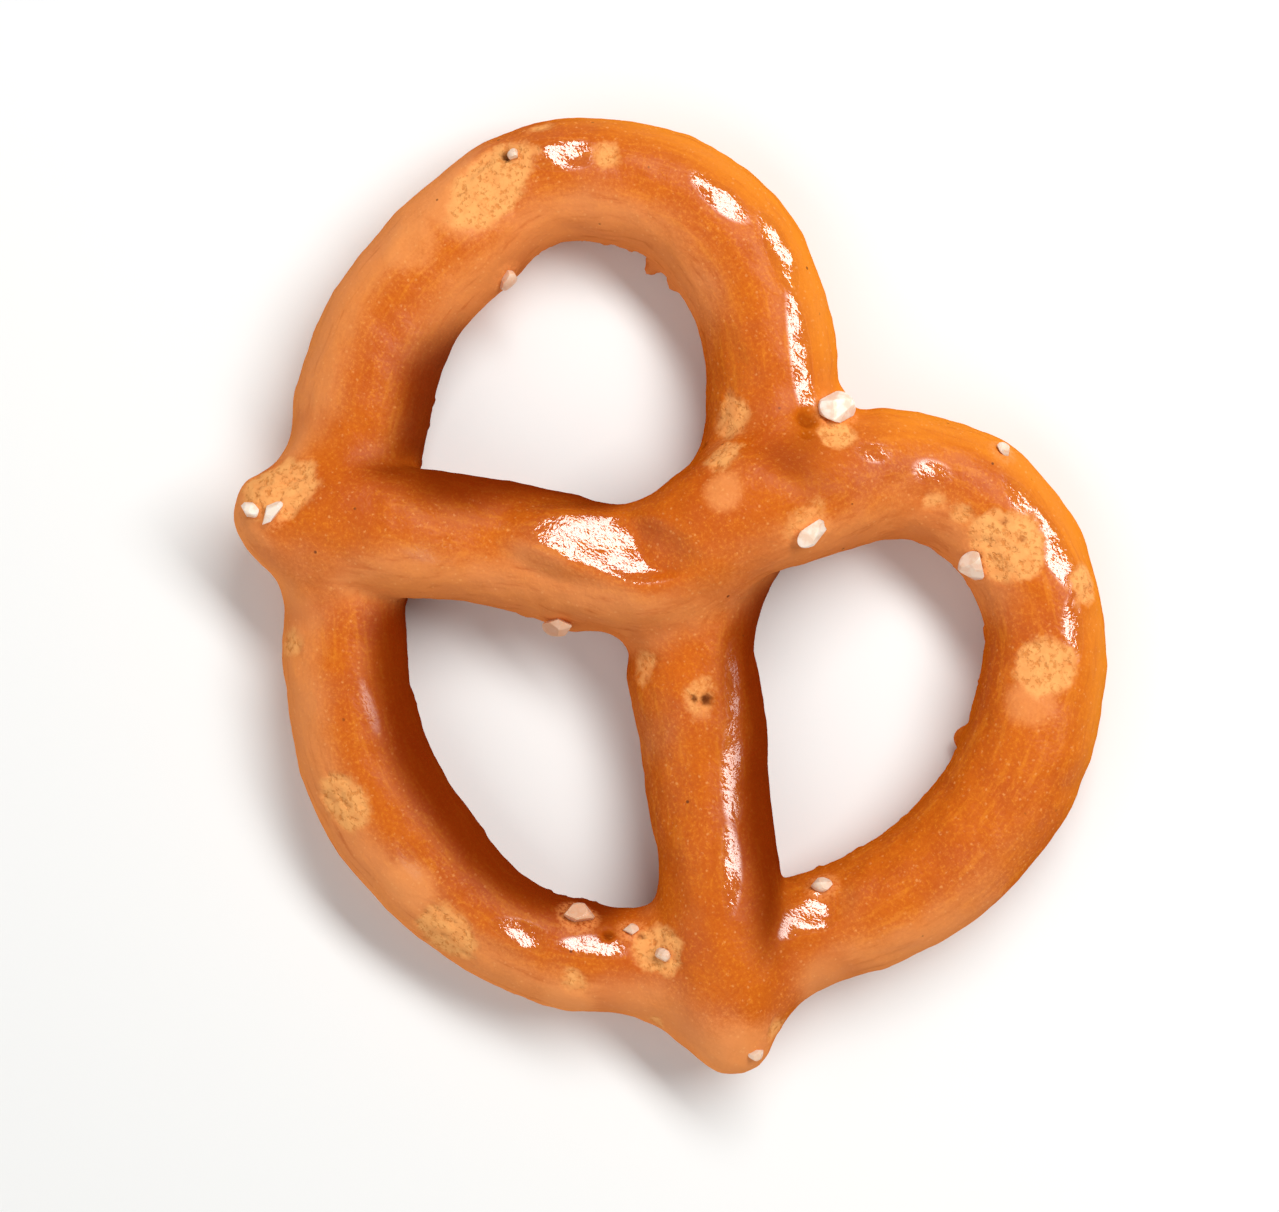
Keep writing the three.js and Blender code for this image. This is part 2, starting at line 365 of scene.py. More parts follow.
ring = curve.node("GeometryNodeCurvePrimitiveCircle", {}, circle)
tube = curve.node(
    "GeometryNodeCurveToMesh",
    {},
    {"Curve": curve, "Profile Curve": ring, "Scale": half_width * end_share, "Fill Caps": True},
)
x, y, z = rope_kit.parts_of(rope_kit.position())
centre_z = rope_kit.parts_of(rope_kit.named("middle", "FLOAT_VECTOR"))[2]
squashed = centre_z + (z - centre_z) * rope_kit.size("Squash")
tube = rope_kit.moved(tube, rope_kit.vector(x, y, squashed))
dab_radius = rope_kit.named("dab_radius")
dab_points = tube.node(
    "GeometryNodeMeshToPoints",
    {},
    {"Mesh": rope_kit.start, "Selection": dab_radius.maths("GREATER_THAN", dab_radius, 0.0)},
)
dab_ball = tube.node("GeometryNodeMeshIcoSphere", {}, {"Radius": 1.0, "Subdivisions": 4})
one_each = {"Points": dab_points, "Instance": dab_ball, "Scale": dab_radius}
dab_balls = tube.node("GeometryNodeInstanceOnPoints", {}, one_each)
dab_balls = tube.node("GeometryNodeRealizeInstances", {}, {"Geometry": dab_balls})
joined = tube.node("GeometryNodeJoinGeometry")
rope_kit.tree.links.new(tube.socket, joined.socket.node.inputs[0])
rope_kit.tree.links.new(dab_balls.socket, joined.socket.node.inputs[0])
x, y, z = rope_kit.parts_of(rope_kit.position())
standing = z.maths("SMOOTH_MAX", z, 0.0, rope_kit.size("Foot"))
rope_kit.finish(rope_kit.moved(joined, rope_kit.vector(x, y, standing)), crust)
rope_kit.put_on(pretzel)
settle(pretzel)

# The swept rope's own middle line, one place for each ring of its skin.
ring_middles = np.empty(len(pretzel.data.vertices) * 3)
pretzel.data.attributes["middle"].data.foreach_get("vector", ring_middles)
ring_middles = ring_middles.reshape(-1, 3)
steps_along = np.abs(np.diff(ring_middles, axis=0)).sum(axis=1) > 0
middles = ring_middles[np.concatenate([[True], steps_along])]
middles = middles[np.linalg.norm(middles, axis=1) > 0]

# The rope, its crossings and the dabs become one skin.
remesh = pretzel.modifiers.new("one_dough", "REMESH")
remesh.mode = "VOXEL"
remesh.voxel_size = VOXEL
remesh.use_smooth_shade = True
settle(pretzel)

# The joints melt together, softest in the middle of each melted place.
places = vertex_places(pretzel.data)
melt = np.zeros(len(places))
for spot in np.array(MELTED) * MM:
    away = np.linalg.norm(places - spot[:3], axis=1)
    melt = np.maximum(melt, rise(1 - away / spot[3], 0, MELT_FADE))
store(pretzel.data, "melt", melt)

melt_kit = NodeKit("melted_joints", Melting_passes=130, Smoothing_passes=5, Smoothing=0.5)
melted = melt_kit.blurred(
    melt_kit.position(), melt_kit.size("Melting_passes"), melt_kit.named("melt"), "FLOAT_VECTOR"
)
dough = melt_kit.moved(melt_kit.start, melted)
smoothed = melt_kit.blurred(
    melt_kit.position(), melt_kit.size("Smoothing_passes"), melt_kit.size("Smoothing"), "FLOAT_VECTOR"
)
melt_kit.finish(melt_kit.moved(dough, smoothed), crust)
melt_kit.put_on(pretzel)
settle(pretzel)

# Pale scars where a blister broke or a grain of salt fell out: x, y, radius, length over width,
# turn of the long side in degrees and how pale the scar is.
SCARS = [
    (-22.7, 9.0, 1.75, 1.8, 100, 0.95), (-19.7, 14.8, 0.85, 1.0, 0, 0.85), (-23.3, 13.1, 0.45, 1.5, 60, 0.8),
    (-4.5, 10.5, 1.05, 1.4, 130, 0.85), (-3.2, 8.8, 1.0, 1.3, 120, 0.85), (0.0, 14.1, 1.0, 1.0, 0, 0.95),
    (6.1, 15.8, 0.62, 1.0, 0, 0.75), (7.7, 16.6, 0.55, 1.0, 0, 0.75), (10.6, 17.2, 2.05, 1.1, 20, 1.0),
    (15.0, 19.0, 0.95, 1.35, 120, 1.0), (16.9, 14.4, 1.6, 1.1, 40, 1.0), (-2.6, -19.2, 1.55, 1.15, 0, 0.9),
    (-11.1, -15.8, 0.85, 1.3, 70, 0.75), (6.5, -19.8, 1.65, 1.15, 0, 0.85), (14.8, -11.5, 1.3, 1.1, 10, 1.0),
    (13.1, -16.1, 0.62, 1.5, 10, 0.75), (22.4, -9.6, 0.8, 1.3, 30, 0.85), (17.8, -14.3, 0.5, 2.0, 120, 0.8),
    (-17.8, -10.5, 1.9, 1.2, 60, 0.95), (2.4, 9.7, 1.0, 1.4, 100, 0.6), (6.6, 20.7, 0.62, 1.0, 0, 0.8),
    (5.9, -0.8, 0.85, 1.5, 130, 0.65), (2.6, -2.1, 0.8, 1.3, 130, 0.65),
]
# Patches where the crust is only a little paler: x, y, radius.
BLUSHES = [
    (-23.0, 3.5, 1.6), (-1.7, 7.4, 1.1), (22.5, -12.6, 3.0), (-18.6, -13.4, 2.6), (17.9, 12.6, 1.5),
    (-16.0, -17.0, 1.4), (3.2, -19.6, 1.4), (-22.9, 7.2, 2.2), (13.6, -17.4, 1.6),
]
# Patches where the glaze ran thick: x, y, radius, length over width, turn in degrees and how glossy.
GLAZE_POOLS = [
    (2.0, 15.0, 0.7, 1.6, 45, 0.8), (4.9, 16.7, 0.8, 1.6, 35, 0.8),
    (2.1, -18.5, 0.6, 3.0, 165, 0.6), (-5.5, -14.7, 0.5, 4.0, 157, 0.6), (-9.5, -6.5, 0.8, 3.0, 40, 0.6),
]
# Pits in the crust: x, y, radius, depth and how charred the pit is.
PITS = [
    (-1.8, 13.5, 0.6, 0.26, 0.0), (-1.2, 12.9, 0.4, 0.16, 0.0), (6.2, -0.6, 0.30, 0.35, 0.8),
    (5.7, -1.1, 0.18, 0.2, 0.8), (-23.4, 10.7, 0.35, 0.25, 0.7), (13.6, -11.8, 0.16, 0.2, 0.6),
    (9.5, 17.9, 0.22, 0.2, 0.3), (10.9, 18.1, 0.2, 0.2, 0.3), (-4.3, 8.3, 0.22, 0.25, 0.5),
    (21.6, -14.2, 0.14, 0.15, 0.6), (-7.0, -20.0, 0.16, 0.15, 0.6), (12.4, -13.1, 0.3, 0.3, 0.2),
]

# Flats, where the rope is less round: x, y, radius, length over width, turn in degrees, depth, and
# which way the flat looks and how far it leans, both in degrees.
FLATS = [
    (-4.0, 0.4, 1.85, 2.6, 40, 0.02, 127, 20.5), (-21.5, 12.8, 0.7, 2.4, 49, 0.05, 105, 16),
    (-9.6, 18.5, 0.6, 3.2, 159, 0.05, 58, 16), (-4.6, 15.6, 0.4, 6.0, 146, 0.0, 46, 19),
    (12.0, 19.2, 0.75, 4.2, 174, 0.05, 79, 14), (-14.0, 17.9, 0.5, 2.6, 7, 0.0, 95, 13),
    (9.3, -16.8, 0.7, 2.0, 33, 0.0, 97, 22.5), (12.3, -14.3, 0.5, 2.6, 50, 0.0, 116, 23.5),
    (18.8, -4.0, 1.0, 2.0, 80, 0.1, 126, 22.5), (16.4, 16.9, 0.35, 3.0, 140, 0.0, 53, 17),
    (6.6, 1.2, 0.4, 4.5, 137, 0.0, 66, 20), (10.2, -2.2, 0.4, 5.0, 137, 0.0, 69, 20.5),
    (13.8, -5.6, 0.4, 4.5, 137, 0.0, 72, 20.5),
]
# All in millimetres.
FLAT_FILL = 1.0  # the most that a flat rises above the dough that was there
FLAT_CUT = 0.9  # the most that a flat takes off
FLAT_LOWEST = 2.0  # flats fade out this high above the table
FLAT_EASE = 1.0  # how wide the edge of a flat is
GLAZE_RIM = 0.65  # how far past a flat its thick glaze thins out
SEAT_RIM = 0.45  # how far round a grain of salt the crust is drawn up
SKY = 30.0  # clear above the pretzel
RIM_HEIGHT = 3.2  # of the rope's sides, where a place beside the rope is moved to
LOWEST_TOP = 1.5  # what is lower than this is not the top of the crust

crust_tree = BVHTree.FromObject(pretzel, bpy.context.evaluated_depsgraph_get())


def on_crust(x, y):
    """Where something dropped at x, y in millimetres lands on the crust, or the crust nearest to it."""
    landed = crust_tree.ray_cast(Vector((x, y, SKY)) * MM, Vector((0, 0, -1)))[0]
    if landed is None or landed.z < LOWEST_TOP * MM:
        landed = crust_tree.find_nearest(Vector((x, y, RIM_HEIGHT)) * MM)[0]
    return np.array(landed)


def inside_spot(places, spot, radius, stretch=1.0, turn=0.0):
    """How far inside the edge of a spot each place is, in mm; stretch draws the spot out."""
    from_spot = places - spot
    angle = math.radians(turn)
    long_way = from_spot[:, 0] * math.cos(angle) + from_spot[:, 1] * math.sin(angle)
    away = np.sqrt(np.maximum((from_spot**2).sum(axis=1) - long_way**2 * (1 - 1 / stretch**2), 0))
    return radius - away / MM


def nearness(places, x, y, radius, stretch=1.0, turn=0.0):
    """1 in the middle of a spot of the crust, a half at its edge and 0 half a radius past it."""
    return rise(inside_spot(places, on_crust(x, y), radius, stretch, turn), -radius / 2, radius / 2)


def facing_of(looks, tilt):
    """The direction of something that leans by tilt towards looks, both in degrees."""
    turned = Matrix.Rotation(math.radians(looks), 3, "Z") @ Matrix.Rotation(math.radians(tilt), 3, "Y")
    return np.array(turned.col[2])


# Near each flat the crust is brought to the flat's plane.
places = vertex_places(pretzel.data)
for x, y, radius, stretch, turn, depth, looks, tilt in FLATS:
    spot = on_crust(x, y)
    facing = facing_of(looks, tilt)
    proud = np.clip((places - spot) @ facing / MM + depth, -FLAT_FILL, FLAT_CUT)
    beside_spot = np.column_stack([places[:, :2], np.full(len(places), spot[2])])
    near = rise(inside_spot(beside_spot, spot, radius, stretch, turn), -FLAT_EASE / 2, FLAT_EASE / 2)
    near *= rise(places[:, 2] / MM, FLAT_LOWEST, FLAT_LOWEST + FLAT_EASE)
    places = places - (proud * near * MM)[:, None] * facing
pretzel.data.vertices.foreach_set("co", places.ravel())
pretzel.data.update()
normals = np.empty(len(places) * 3)
pretzel.data.vertex_normals.foreach_get("vector", normals)
normals = normals.reshape(-1, 3)

# What the finish reads at each place: how far inside a scar it is and how pale that scar is, how
# blushed, pitted, charred and thickly glazed it is, and how near to a grain of salt.
FAR_OUTSIDE = -2.0  # mm from the nearest scar
scar = np.full(len(places), FAR_OUTSIDE)
paleness, blush, pit, char, glaze, seat = np.zeros((6, len(places)))
for x, y, radius, stretch, turn, pale in SCARS:
    inside = inside_spot(places, on_crust(x, y), radius, stretch, turn)
    paleness = np.where(inside > scar, pale, paleness)
    scar = np.maximum(scar, inside)
for x, y, radius in BLUSHES:
    blush = np.maximum(blush, nearness(places, x, y, radius))
for x, y, radius, stretch, turn, glossy in GLAZE_POOLS:
    glaze = np.maximum(glaze, glossy * nearness(places, x, y, radius, stretch, turn))
for x, y, radius, stretch, turn, depth, looks, tilt in FLATS:
    inside = inside_spot(places, on_crust(x, y), radius, stretch, turn)
    level_with_it = rise(normals @ facing_of(looks, tilt), 0.9, 0.97)
    glaze = np.maximum(glaze, rise(inside, -GLAZE_RIM, 0) * level_with_it)
for x, y, radius, depth, charred in PITS:
    near = nearness(places, x, y, radius)
    pit = np.maximum(pit, depth * near)
    char = np.maximum(char, charred * near)
# The crust is drawn up round each grain of salt, and paler there.
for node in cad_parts:
    if node.startswith("salt_grain"):
        low, high = np.array(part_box(node))
        reach = (high - low)[:2].mean() / 2 / MM + SEAT_RIM
        inside = inside_spot(places, (low + high) / 2, reach)
        seat = np.maximum(seat, rise(inside, -SEAT_RIM / 2, SEAT_RIM / 2))
store(pretzel.data, "scar", scar)
store(pretzel.data, "paleness", paleness)
store(pretzel.data, "seat", seat)
store(pretzel.data, "blush", blush)
store(pretzel.data, "pit", pit)
store(pretzel.data, "char", char)
store(pretzel.data, "glaze", glaze)

# Each place on the crust, told by the rope: how far along it and how far to its side, in mm.
rope_finder = KDTree(len(middles))
for i, rope_middle in enumerate(middles):
    rope_finder.insert(rope_middle, i)
rope_finder.balance()
nearest = np.array([rope_finder.find(place)[1] for place in places])
heading = np.gradient(middles, axis=0)
heading /= np.linalg.norm(heading, axis=1)[:, None]
sideways = np.stack([heading[:, 1], -heading[:, 0]], axis=1)[nearest]
from_middle = (places - middles[nearest])[:, :2]
past_ring = (from_middle * heading[nearest][:, :2]).sum(axis=1)
store(pretzel.data, "along_rope", (nearest * ROPE_STEP + past_ring) / MM)
store(pretzel.data, "across_rope", (from_middle * sideways).sum(axis=1) / MM)

# A flank looks into a loop if more crust lies across from it. Light and shade are painted on the flanks:
# painted shade on those that look one way into the loops, painted light on the outer flanks on that side,
# and a pale painted reflection on those turned away.
LOOK_FROM = 4.0 * MM  # beside the rope's middle line
LOOK_HEIGHT = 2.5 * MM
LOOP_REACH = 30 * MM
CROWN = 0.985  # where the crust faces up more than this, it is no flank
TINY = 1e-6
flat_normals = normals * (1, 1, 0)
flat_normals /= np.maximum(np.linalg.norm(flat_normals, axis=1), TINY)[:, None]
lookouts = middles[nearest] * (1, 1, 0) + flat_normals * LOOK_FROM + (0, 0, LOOK_HEIGHT)
inside_loop = np.zeros(len(places))
for i in np.flatnonzero(normals[:, 2] < CROWN):
    distance = crust_tree.ray_cast(Vector(lookouts[i]), Vector(flat_normals[i]), LOOP_REACH)[3]
    inside_loop[i] = 0.0 if distance is None else rise(distance / MM, 0.5, 3.5)
shaded_way = np.array((across + upward * 0.5).normalized())
lit_way = np.array((across + upward * 0.7).normalized())
reflection_way = -np.array(upward)
# Painted shade: the loop walls that look the shaded way are darkened.
loop_shade = inside_loop * rise(normals @ shaded_way, 0.2, 0.6)
# Painted light: the outer flanks that look the lit way are lightened.
lit_flank = (1 - inside_loop) * rise(normals @ lit_way, 0.25, 0.75)
steep = rise(np.sqrt(1 - normals[:, 2] ** 2), 0, 0.6)
# A pale painted reflection: on steep outer flanks turned from the lit way and on loop walls that look down
# the view.
reflection_outside = (1 - inside_loop) * steep * (1 - rise(normals @ lit_way, -0.15, 0.35))
reflection_inside = inside_loop * rise(normals @ reflection_way, -0.1, 0.6)
# The raised joints lose this share of the painted reflection.
JOINT_REFLECTION_LOSS = 0.6  # share of the paleness that the raised joints lose
raised_joints = melt * rise(places[:, 2] / MM, 5.0, 6.0)
store(pretzel.data, "loop_shade", loop_shade)
store(pretzel.data, "lit_flank", lit_flank)
store(pretzel.data, "reflection_flank", (reflection_outside + reflection_inside) * (1 - raised_joints * JOINT_REFLECTION_LOSS))
store(pretzel.data, "top_side", rise(normals[:, 2], 0.3, 0.75))

# The crust's relief: a slow swell and a fine ripple all over, a burr where it met the oven, beads
# round the scars and pores in them, pits, and pores in the sole.
crust_kit = NodeKit(
    "baked_crust",
    Swell=0.51 * MM,
    Ripple=0.1 * MM,
    Foot_burr=0.34 * MM,
    Scar_depth=0.09 * MM,
    Scar_rim=0.06 * MM,
    Seat_rise=0.05 * MM,
    Pore_depth=0.16 * MM,
    Sole_pores=0.18 * MM,
    Low=tuple(cad_box[0]),
    High=tuple(cad_box[1]),
    Margin=0.03 * MM,
    Soft_stop=0.5 * MM,
    Blur_passes=20,
    Seed=3.0,
)
per_mm = crust_kit.scaled(crust_kit.position(), 1 / MM)


def crust_noise(scale, detail, shift):
    """Noise about nought, with scale lumps to a millimetre; each shift gives another pattern."""
    shifted = crust_kit.vector_maths("ADD", per_mm, crust_kit.vector(crust_kit.size("Seed"), shift, shift))
    noise = shifted.node("ShaderNodeTexNoise", {}, {"Vector": shifted, "Scale": scale, "Detail": detail})
    return noise - 0.5


above_table = crust_kit.parts_of(crust_kit.position())[2]
off_table = above_table.rising(0.1 * MM, 1.6 * MM)
low_down = (1 - above_table.rising(0.8 * MM, 2.8 * MM)) * above_table.rising(0.1 * MM, 0.9 * MM)
underneath = 1 - above_table.rising(0.03 * MM, 0.25 * MM)
scarred = crust_kit.named("scar") + crust_noise(0.9, 2.0, 31.0) * 1.2
bared = scarred.rising(-0.45, 0.45) * crust_kit.named("paleness")
rim = scarred.rising(-0.4, -0.05) * (1 - scarred.rising(0.0, 0.35)) * crust_kit.named("paleness")
drawn_up = crust_kit.named("seat") * crust_kit.size("Seat_rise")
swell = crust_noise(0.26, 2.0, 0.0) * crust_kit.size("Swell")
ripple = crust_noise(1.2, 3.0, 5.0) * crust_kit.size("Ripple")
burr = crust_noise(0.8, 4.0, 11.0).rising(0.0, 0.22) * low_down * crust_kit.size("Foot_burr")
beads = crust_noise(2.4, 1.0, 17.0).rising(-0.1, 0.12) * rim * crust_kit.size("Scar_rim")
scar_pores = crust_noise(1.7, 2.0, 23.0).rising(0.02, 0.16) * bared * crust_kit.size("Pore_depth")
recess = bared * crust_kit.size("Scar_depth")
pitted = crust_kit.named("pit") * MM
lift = (swell + ripple + beads + drawn_up - scar_pores - recess - pitted) * off_table + burr
sole_pores = crust_noise(0.9, 3.0, 41.0).rising(0.06, 0.2) * underneath * crust_kit.size("Sole_pores")
outwards = crust_kit.scaled(crust_kit.start.node("GeometryNodeInputNormal"), lift - sole_pores)
risen = crust_kit.vector_maths("ADD", crust_kit.position(), outwards)


def eased_below(value, high):
    return value.maths("SMOOTH_MIN", value, high - crust_kit.size("Margin"), crust_kit.size("Soft_stop"))


def eased_above(value, low):
    return value.maths("SMOOTH_MAX", value, low + crust_kit.size("Margin"), crust_kit.size("Soft_stop"))


# The crust eases up to the sides of the part's box instead of being cut off there.
x, y, z = crust_kit.parts_of(risen)
low_x, low_y = crust_kit.parts_of(crust_kit.size("Low"))[:2]
high_x, high_y, high_z = crust_kit.parts_of(crust_kit.size("High"))
x = eased_above(eased_below(x, high_x), low_x)
y = eased_above(eased_below(y, high_y), low_y)
z = eased_below(z, high_z)
relief = crust_kit.moved(crust_kit.start, crust_kit.vector(x, y, z.maths("MAXIMUM", z, 0.0)))
relief = crust_kit.stored(relief, "bare", bared)
for name in ("loop_shade", "lit_flank", "reflection_flank", "top_side"):
    blurred = crust_kit.blurred(crust_kit.named(name), crust_kit.size("Blur_passes"))
    relief = crust_kit.stored(relief, name, blurred)
crust_kit.finish(relief, crust)
crust_kit.put_on(pretzel)
settle(pretzel)

# The crust's finish: browned all over with painted light, shade and reflection on its flanks, glossy
# where the glaze lies thick, pale and matt in the scars and dull underneath.
BROWNED = (0.61, 0.130, 0.006, 1)
DEEP = (0.49, 0.078, 0.003, 1)
# The golden tone of streaks and specks, also used as painted light on the lit outer flanks.
GOLDEN_AND_LIT = (0.80, 0.250, 0.016, 1)
# Painted shade, laid on the walls inside the loops and in the pits.
SHADE_BROWN = (0.15, 0.012, 0.001, 1)
PALE = (0.90, 0.41, 0.130, 1)
PORE = (0.60, 0.17, 0.025, 1)
# The pale tone of blushes, scars and salt seats, also used as a painted reflection on the flanks.
BLUSH_AND_REFLECTION = (0.84, 0.30, 0.085, 1)
CHARRED = (0.10, 0.022, 0.004, 1)
SOLE = (0.52, 0.175, 0.038, 1)
SOLE_BROWN = (0.36, 0.085, 0.012, 1)
GLAZE_IOR = 1.8
DRY_ROUGHNESS = 0.75
CRUMPLE_HEIGHT = 0.05 * MM

shader = crust.node_tree.nodes["Principled BSDF"]
skin = Wire(crust.node_tree, shader.outputs["BSDF"])
place = skin.node("ShaderNodeTexCoord", output="Object")
place_mm = place.node("ShaderNodeVectorMath", {"operation": "SCALE"}, {0: place, "Scale": 1 / MM})


def painted(name):
    """What was stored on the crust under this name."""
    return skin.node("ShaderNodeAttribute", {"attribute_name": name}, output="Fac")


def skin_noise(scale, detail, roughness=0.5, where=place_mm):
    """Noise from 0 to 1, with scale lumps to a millimetre."""
    inputs = {"Vector": where, "Scale": scale, "Detail": detail, "Roughness": roughness}
    return where.node("ShaderNodeTexNoise", {}, inputs)


def paint(share, under, over):
    """Colours mixed by a share: 6, 7 and output 2 are the Mix node's sockets for colours."""
    inputs = {"Factor": share, 6: under, 7: over}
    return share.node("ShaderNodeMix", {"data_type": "RGBA"}, inputs, output=2)


# Streaks run along the rope, where rolling drew the dough out.
STREAK_ALONG = 0.22
STREAK_ACROSS = 1.5
height_mm = place_mm.node("ShaderNodeSeparateXYZ", {}, {"Vector": place_mm}).out("Z")
rolled = {
    "X": painted("along_rope") * STREAK_ALONG,
    "Y": painted("across_rope") * STREAK_ACROSS,
    "Z": height_mm * STREAK_ACROSS,
}
rolled = skin.node("ShaderNodeCombineXYZ", {}, rolled)
streaks = skin_noise(1.6, 3.0, 0.6, rolled) * (1 - painted("melt"))
mottle = skin_noise(0.3, 4.0, 0.55)
fine = skin_noise(4.0, 4.0, 0.7)
speckle = skin_noise(5.0, 3.0, 0.7)
scar_edge = painted("bare") + (skin_noise(2.6, 3.0, 0.7) - 0.5) * 0.8
bare = scar_edge.rising(0.15, 0.95) * painted("bare").rising(0.0, 0.2)
sole = 1 - height_mm.rising(0.1, 0.5)

# The browning: mottled, streaked and speckled, with painted light on the outer flanks of one side, a pale
# painted reflection on the flanks turned away and painted shade on the walls in the loops.
colour = paint(mottle.rising(0.38, 0.68) * 0.75, BROWNED, DEEP)
colour = paint(streaks.rising(0.5, 0.7) * 0.4, colour, GOLDEN_AND_LIT)
colour = paint(speckle.rising(0.5, 0.72) * 0.55, colour, GOLDEN_AND_LIT)
colour = paint((1 - speckle.rising(0.3, 0.5)) * 0.45, colour, DEEP)
# Painted light on the outer flanks that look the lit way.
colour = paint(painted("lit_flank") * 0.85, colour, GOLDEN_AND_LIT)
# A pale painted reflection on the flanks turned away from the lit way.
reflection_flank = (painted("reflection_flank") + (mottle - 0.5) * 0.9 + (speckle - 0.5) * 0.4).rising(0.0, 1.0)
colour = paint(reflection_flank * 0.75, colour, BLUSH_AND_REFLECTION)
colour = paint((1 - streaks.rising(0.2, 0.48)) * 0.5 * (1 - painted("melt")), colour, DEEP)
# Painted shade on the walls inside the loops.
colour = paint(painted("loop_shade") * 0.9, colour, SHADE_BROWN)
blushed = (painted("blush") + (mottle - 0.5) * 1.2 + (speckle - 0.5) * 0.6).rising(0.1, 1.1)
blushed = blushed * painted("blush").rising(0.0, 0.3)
blushed = blushed.maths("MAXIMUM", blushed * 0.75, painted("seat") * speckle.rising(0.3, 0.6) * 0.6)
colour = paint(blushed, colour, BLUSH_AND_REFLECTION)

# Pale flecks, a few charred specks, the scars, painted shade in the pits, the charred pits and the sole.
fleck_cells = place_mm.node("ShaderNodeTexVoronoi", {}, {"Vector": place_mm, "Scale": 2.6})
flecks = (1 - fleck_cells.rising(0.12, 0.3)) * fine.rising(0.45, 0.62) * (1 - painted("loop_shade"))
colour = paint(flecks * 0.45, colour, PALE)
speck_cells = place_mm.node("ShaderNodeTexVoronoi", {}, {"Vector": place_mm, "Scale": 0.75})
specks = (1 - speck_cells.rising(0.05, 0.09)) * skin_noise(0.7, 1.0).rising(0.55, 0.65)
colour = paint(specks * 0.8, colour, CHARRED)
pores = skin_noise(3.0, 3.0, 0.65).rising(0.48, 0.68)
scar_colour = paint(skin_noise(1.2, 3.0, 0.6).rising(0.4, 0.65) * 0.5, PALE, BLUSH_AND_REFLECTION)
scar_colour = paint(pores * 0.6, scar_colour, PORE)
colour = paint(bare, colour, scar_colour)
# Painted shade in the pits, darker as they are deeper.
colour = paint(painted("pit").rising(0.05, 0.4) * 0.7, colour, SHADE_BROWN)
colour = paint(painted("char"), colour, CHARRED)
sole_colour = paint(skin_noise(0.6, 6.0, 0.75).rising(0.35, 0.7) * 0.8, SOLE, SOLE_BROWN)
sole_colour = paint(skin_noise(3.5, 3.0, 0.7).rising(0.52, 0.7) * 0.5, sole_colour, SOLE_BROWN)
colour = paint(sole, colour, sole_colour)
crust.node_tree.links.new(colour.socket, shader.inputs["Base Color"])

glazed = painted("glaze").rising(0.3, 0.9) * (1 - bare)
dullness = 0.38 + fine * 0.1 - glazed * 0.33 + bare * 0.2 + sole * 0.2 + painted("loop_shade") * 0.15
crust.node_tree.links.new(dullness.socket, shader.inputs["Roughness"])
shader.inputs["IOR"].default_value = GLAZE_IOR

# The skin is finely crumpled and creased, a little more where the glaze lies thick.
folds = skin_noise(2.2, 2.0, 0.5) - 0.5
creases = folds.maths("ABSOLUTE", folds).rising(0.0, 0.12)
pimples = skin_noise(5.0, 1.0, 0.5)
crumple = (creases * 0.22 + folds * 0.7) * (1 - bare)
fine_height = crumple * (0.5 + glazed * 0.05) + streaks * 0.2 - pores * bare + pimples * 0.4
bump = skin.node("ShaderNodeBump", {}, {"Height": fine_height, "Strength": 0.8, "Distance": CRUMPLE_HEIGHT})
crust.node_tree.links.new(bump.socket, shader.inputs["Normal"])

# The glaze is thick on the flats and in its pools and thin on the rest of the top side. The flanks,
# the loop walls painted in shade, the scars, the pits and the sole are dry.
dry_inputs = {"Base Color": colour, "Roughness": DRY_ROUGHNESS, "Normal": bump, "Specular IOR Level": 0.0}
dry = skin.node("ShaderNodeBsdfPrincipled", {}, dry_inputs)
shine = (0.08 + mottle * 0.22 + glazed * 0.9) * painted("top_side") * (1 - painted("loop_shade"))
shine = shine * (1 - bare) * (1 - sole) * (1 - painted("pit").rising(0.02, 0.15))
finish = skin.node("ShaderNodeMixShader", {}, {"Fac": shine, 1: dry, 2: skin})
crust.node_tree.links.new(finish.socket, crust.node_tree.nodes["Material Output"].inputs["Surface"])

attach(pretzel, "root")
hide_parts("pretzel")


# ---- The salt ----
# Fourteen coarse crystals of salt, broken blocks with a few flat faces, strewn on the glaze before
# baking and bedded in the crust. Those that sank in deepest are stained tan by the dough.

# Length, width and height in mm, turn in degrees and how far it is stained, by the grain's number.
GRAINS = {
    1: (2.1, 2.2, 1.7, 20, 0.0), 2: (2.2, 1.4, 0.9, 80, 0.15), 3: (2.0, 1.6, 1.3, 120, 0.25),
    4: (1.7, 0.9, 0.8, 100, 0.1), 5: (1.4, 1.0, 0.9, 40, 0.1), 6: (1.9, 1.3, 1.1, 60, 0.75),
    7: (2.0, 1.3, 1.1, 75, 0.7), 8: (1.0, 0.8, 0.7, 10, 0.45), 9: (0.9, 0.7, 0.6, 50, 0.55),
    10: (0.9, 0.8, 0.7, 0, 0.3), 11: (1.5, 1.0, 0.9, 130, 0.5), 12: (1.3, 0.9, 0.8, 30, 0.4),
    13: (1.0, 0.7, 0.6, 65, 0.5), 14: (0.9, 0.7, 0.6, 15, 0.4),
}

# The crystals let some light through, cloudy inside and finely flawed on the surface.
CLEAR = (0.86, 0.66, 0.52, 1)
CLOUDY = (0.95, 0.84, 0.73, 1)
STAINED = (0.62, 0.27, 0.11, 1)
TRANSLUCENCE = 0.35
LIGHT_REACH = (0.9 * MM, 0.7 * MM, 0.5 * MM)  # how far red, green and blue light spread inside
FLAW_HEIGHT = 0.02 * MM

